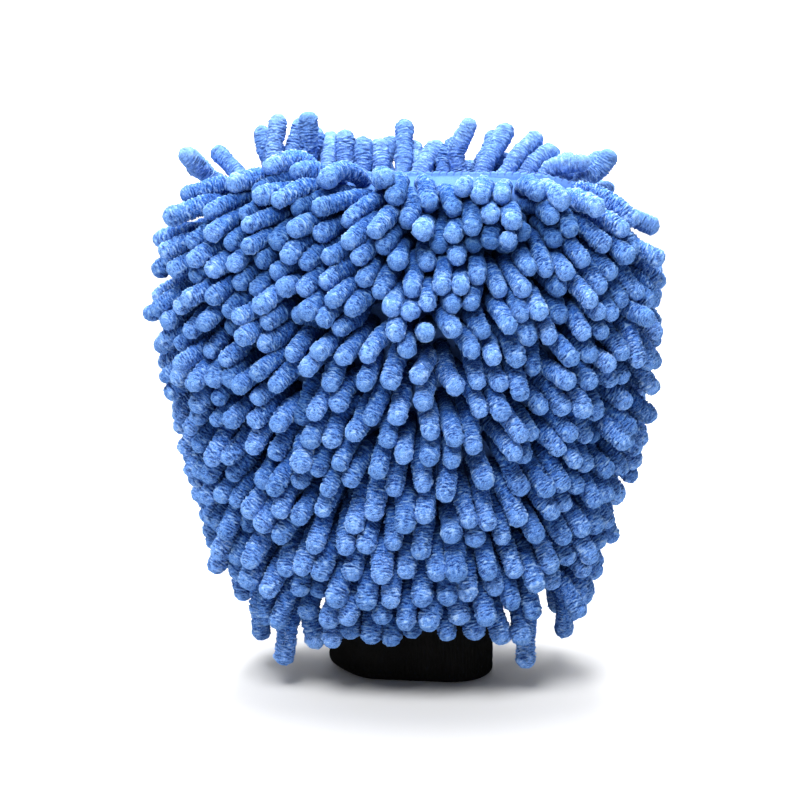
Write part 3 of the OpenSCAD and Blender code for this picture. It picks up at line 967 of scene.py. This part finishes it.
def cuff_tube():
    """The knit tube folded double: ribbed outside and inside, and round at the foot."""
    ribs = int(CUFF_ROUND / RIB_PITCH)
    columns = ribs * 7
    outline, way = stadium(columns)
    rib = 0.5 + 0.5 * np.cos(2 * np.pi * np.arange(columns) * ribs / columns)
    fold = WALL / 2
    bend = np.linspace(0, np.pi, 9)
    profile = [(0.0, z) for z in np.linspace(CUFF_TOP - fold, fold, 44)[:-1]]
    profile += [(fold * np.cos(b) - fold, fold - fold * np.sin(b)) for b in bend]
    profile += [(-WALL, z) for z in np.linspace(fold, CUFF_TOP - fold, 16)[1:]]
    profile += [(-fold - fold * np.cos(b), CUFF_TOP - fold + fold * np.sin(b)) for b in bend[1:-1]]
    smooth_left = 0.30 + 0.70 * smoothstep(-7 * MM, 4 * MM, outline[:, 0])
    rings = []
    for inset, z in profile:
        facing = np.clip(inset / fold + 1, -1, 1)
        hem = -0.28 * MM * np.exp(-(((z - 4.2 * MM) / (0.5 * MM)) ** 2))
        ripple = 0.06 * MM * np.sin(z / (0.55 * MM) + 3 * rib)
        lift = facing * (0.42 * MM * (rib**0.7 - 0.5) * smooth_left + ripple + hem)
        ring = cuff_skin(outline, way, np.full(columns, z))
        ring[:, :2] += way * (inset + lift)[:, None]
        rings.append(ring)
    grid = settled(np.array(rings))
    rows = len(profile)
    quads = tube_faces(rows, columns, closed=True)
    piece = new_object("ribbed_cuff", grid.reshape(-1, 3), [quads], material=RIB_KNIT)
    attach(piece, "cuff")
    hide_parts("cuff_knit")


def elastic_band():
    """The elastic between the cuff's two layers, with a fine crosswise grain."""
    columns = 240
    low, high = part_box("cuff_elastic")
    outline, way = stadium(columns, -WALL / 2 + 0.35 * MM)
    rings = []
    for z in np.linspace(low.z, high.z, 25):
        grain = 0.06 * MM * np.sin(2 * np.pi * z / (1.1 * MM))
        rings.append(cuff_skin(outline, way, np.full(columns, z), grain))
    piece = shell("elastic_band", settled(np.array(rings)), 0.7 * MM, ELASTIC)
    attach(piece, "cuff")
    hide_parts("cuff_elastic")


def stitches_round(name, z, out, count, length):
    """A row of stitches round the cuff, each a short thread that dips into the knit at both ends."""
    outline, way = stadium(count * STITCH_STEPS)
    where = cuff_skin(outline, way, np.full(len(outline), z), out)
    span = length / (CUFF_ROUND / len(outline))
    dip = 0.55 * MM * (np.linspace(-1, 1, STITCH_POINTS) ** 4)
    lines = []
    for k in range(count):
        at = k * STITCH_STEPS + np.linspace(0, span, STITCH_POINTS)
        low = np.floor(at).astype(int)
        part = (at - low)[:, None]
        line = where[low % len(where)] * (1 - part) + where[(low + 1) % len(where)] * part
        line[:, :2] -= way[low % len(where)] * dip[:, None]
        lines.append(settled(line))
    return threads(name, lines, 0.26 * MM, BLACK_THREAD)


def hem_funnel():
    """The tape that gathers the panels into the cuff, in from their lower edge and down the cuff."""
    columns = 720
    outline, way = stadium(columns, 0.75 * MM)
    angle = np.arctan2(outline[:, 1], outline[:, 0])
    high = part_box("hem_binding")[1]
    wide, deep = high.x - 1.0 * MM, high.y - 1.0 * MM
    reach = 1 / np.sqrt((np.cos(angle) / wide) ** 2 + (np.sin(angle) / deep) ** 2)
    hem = np.stack([np.cos(angle) * reach, np.sin(angle) * reach], axis=1)
    uneven = 2.2 * noise_at(np.c_[outline, np.zeros(columns)], 15 * MM)
    gathers = np.sin(np.arange(columns) * 2 * np.pi * GATHERS / columns + uneven)
    rings = []
    for share, z in zip(np.linspace(0, 1, len(TAPE_DROPS)), HEM_Z - TAPE_DROPS):
        inwards = np.minimum(share / 0.85, 1)
        eased = smoothstep(0, 1, inwards)
        flat = hem * (1 - eased) + outline * eased
        slack = np.sin(np.pi * inwards) * 0.75 * MM * gathers
        ring = np.concatenate([flat + way * slack[:, None], np.full((columns, 1), z)], axis=1)
        rings.append(ring)
    grid = np.array(rings)
    piece = shell("hem_tape", grid[::-1], 0.6 * MM, BINDING)
    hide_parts("hem_binding")
    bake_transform(piece)


cuff_tube()
hem_funnel()
seam_stitches = stitches_round("cuff_stitches", SEAM_HEIGHT, 0.42 * MM, 44, 2.9 * MM)
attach(seam_stitches, "cuff")
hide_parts("cuff_thread")
tape_stitches = stitches_round("tape_stitches", TAPE_STITCH_HEIGHT, 1.6 * MM, 40, 3.1 * MM)
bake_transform(tape_stitches)
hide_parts("binding_thread")
elastic_band()

# ---------------------------------------------------------------- stage and camera


def stage_material(name, grey, light):
    """A plain grey surface that also gives off that much white light."""
    s = Shader(name)
    s.set(Roughness=0.7, Emission_Strength=light)
    s.surface.inputs["Base Color"].default_value = rgb(grey, grey, grey)
    s.surface.inputs["Emission Color"].default_value = rgb(1, 1, 1)
    return s.material


bpy.ops.mesh.primitive_plane_add(size=8)
floor = bpy.context.object
floor.name = "floor"
floor.data.materials.append(stage_material("floor", 0.54, 0.0))
bpy.ops.mesh.primitive_plane_add(size=8, location=(0, 1.6, 0), rotation=(math.pi / 2, 0, 0))
backdrop = bpy.context.object
backdrop.name = "backdrop"
backdrop.data.materials.append(stage_material("backdrop", 0.92, 1.0))

world = bpy.data.worlds.new("studio")
bpy.context.scene.world = world
world.use_nodes = True
background = world.node_tree.nodes["Background"]
background.inputs["Color"].default_value = rgb(1.0, 1.0, 1.0)
background.inputs["Strength"].default_value = 0.29


def softbox(name, place, aim, size, power):
    """A round lamp of that size and power in watts, turned towards its aim."""
    light = bpy.data.lights.new(name, "AREA")
    light.shape, light.size, light.energy = "DISK", size, power
    obj = bpy.data.objects.new(name, light)
    bpy.context.scene.collection.objects.link(obj)
    obj.location = place
    obj.rotation_euler = (Vector(aim) - Vector(place)).to_track_quat("-Z", "Y").to_euler()


softbox("top_softbox", (-0.05, 0.38, 1.28), (0, 0, 0.1), 0.9, 33.0)
softbox("back_softbox", (0.05, 0.95, 1.05), (0, 0, 0.15), 0.6, 9.0)
softbox("front_softbox", (-0.25, -0.72, 1.44), (0, 0, 0.12), 0.8, 38.0)

MIDDLE = Vector((-4.5 * MM, 0, 117 * MM))
CAMERA_DISTANCE = 0.95
CAMERA_ELEVATION = math.radians(12)
VIEW_WIDTH = 0.336  # what the picture spans at the mitt
SENSOR = 36
camera = bpy.data.cameras.new("camera")
camera.sensor_width = SENSOR
camera.lens = SENSOR * CAMERA_DISTANCE / VIEW_WIDTH
camera_object = bpy.data.objects.new("camera", camera)
bpy.context.scene.collection.objects.link(camera_object)
back = Vector((0, -math.cos(CAMERA_ELEVATION), math.sin(CAMERA_ELEVATION)))
camera_object.location = MIDDLE + back * CAMERA_DISTANCE
camera_object.rotation_euler = (-back).to_track_quat("-Z", "Y").to_euler()
bpy.context.scene.camera = camera_object
bpy.context.scene.view_settings.view_transform = "Standard"
